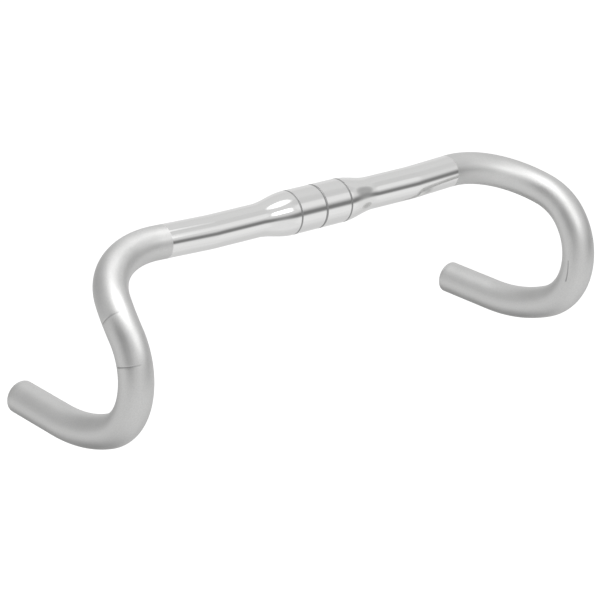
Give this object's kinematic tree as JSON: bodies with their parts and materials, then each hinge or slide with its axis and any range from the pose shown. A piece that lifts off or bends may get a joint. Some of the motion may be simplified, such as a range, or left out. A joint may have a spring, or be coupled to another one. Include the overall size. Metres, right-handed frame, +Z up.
{
  "type": "drop handlebar",
  "caption": "Drop handlebar: bent alloy tube with a bulged round clamp zone, forward ramps, round hooks, level drop ends and expanding end plugs.",
  "frame": {"origin": "on the tube's axis at the middle of the clamp zone", "axes": "+X towards the rider's left along the clamp zone, -Y forwards, +Z up with the drop ends level"},
  "size_m": [0.4518, 0.1367, 0.1434],
  "materials": {
    "tube": "satin shot-peened, polished between the bends",
    "cap": "satin",
    "screw": "plain",
    "washer": "plain",
    "collar": "matt",
    "wedge": "as machined"
  },
  "bodies": {
    "handlebar": {"bar_tube": "tube", "left_plug_cap": "cap", "left_plug_washer": "washer", "left_plug_collar": "collar", "right_plug_cap": "cap", "right_plug_washer": "washer", "right_plug_collar": "collar"},
    "left_screw": {"left_plug_screw": "screw"},
    "left_wedge": {"left_plug_wedge": "wedge"},
    "right_screw": {"right_plug_screw": "screw"},
    "right_wedge": {"right_plug_wedge": "wedge"}
  },
  "joints": [
    {"name": "left_screw_turn", "type": "hinge", "parent": "handlebar", "child": "left_screw", "pos_m": [0.20988, 0.05648, -0.11564], "axis": [-0.0332, 0.9995, 0], "range_deg": [0, 1800]},
    {"name": "left_wedge_slide", "type": "slide", "parent": "handlebar", "child": "left_wedge", "axis": [0.0332, -0.9995, 0], "range_m": [0, 0.004]},
    {"name": "right_screw_turn", "type": "hinge", "parent": "handlebar", "child": "right_screw", "pos_m": [-0.20988, 0.05648, -0.11564], "axis": [0.0332, 0.9995, 0], "range_deg": [0, 1800]},
    {"name": "right_wedge_slide", "type": "slide", "parent": "handlebar", "child": "right_wedge", "axis": [-0.0332, -0.9995, 0], "range_m": [0, 0.004]}
  ],
  "couplings": [
    {"joint": "left_screw_turn", "follows": "left_wedge_slide", "rad_per_m": 7854},
    {"joint": "right_screw_turn", "follows": "right_wedge_slide", "rad_per_m": 7854}
  ]
}
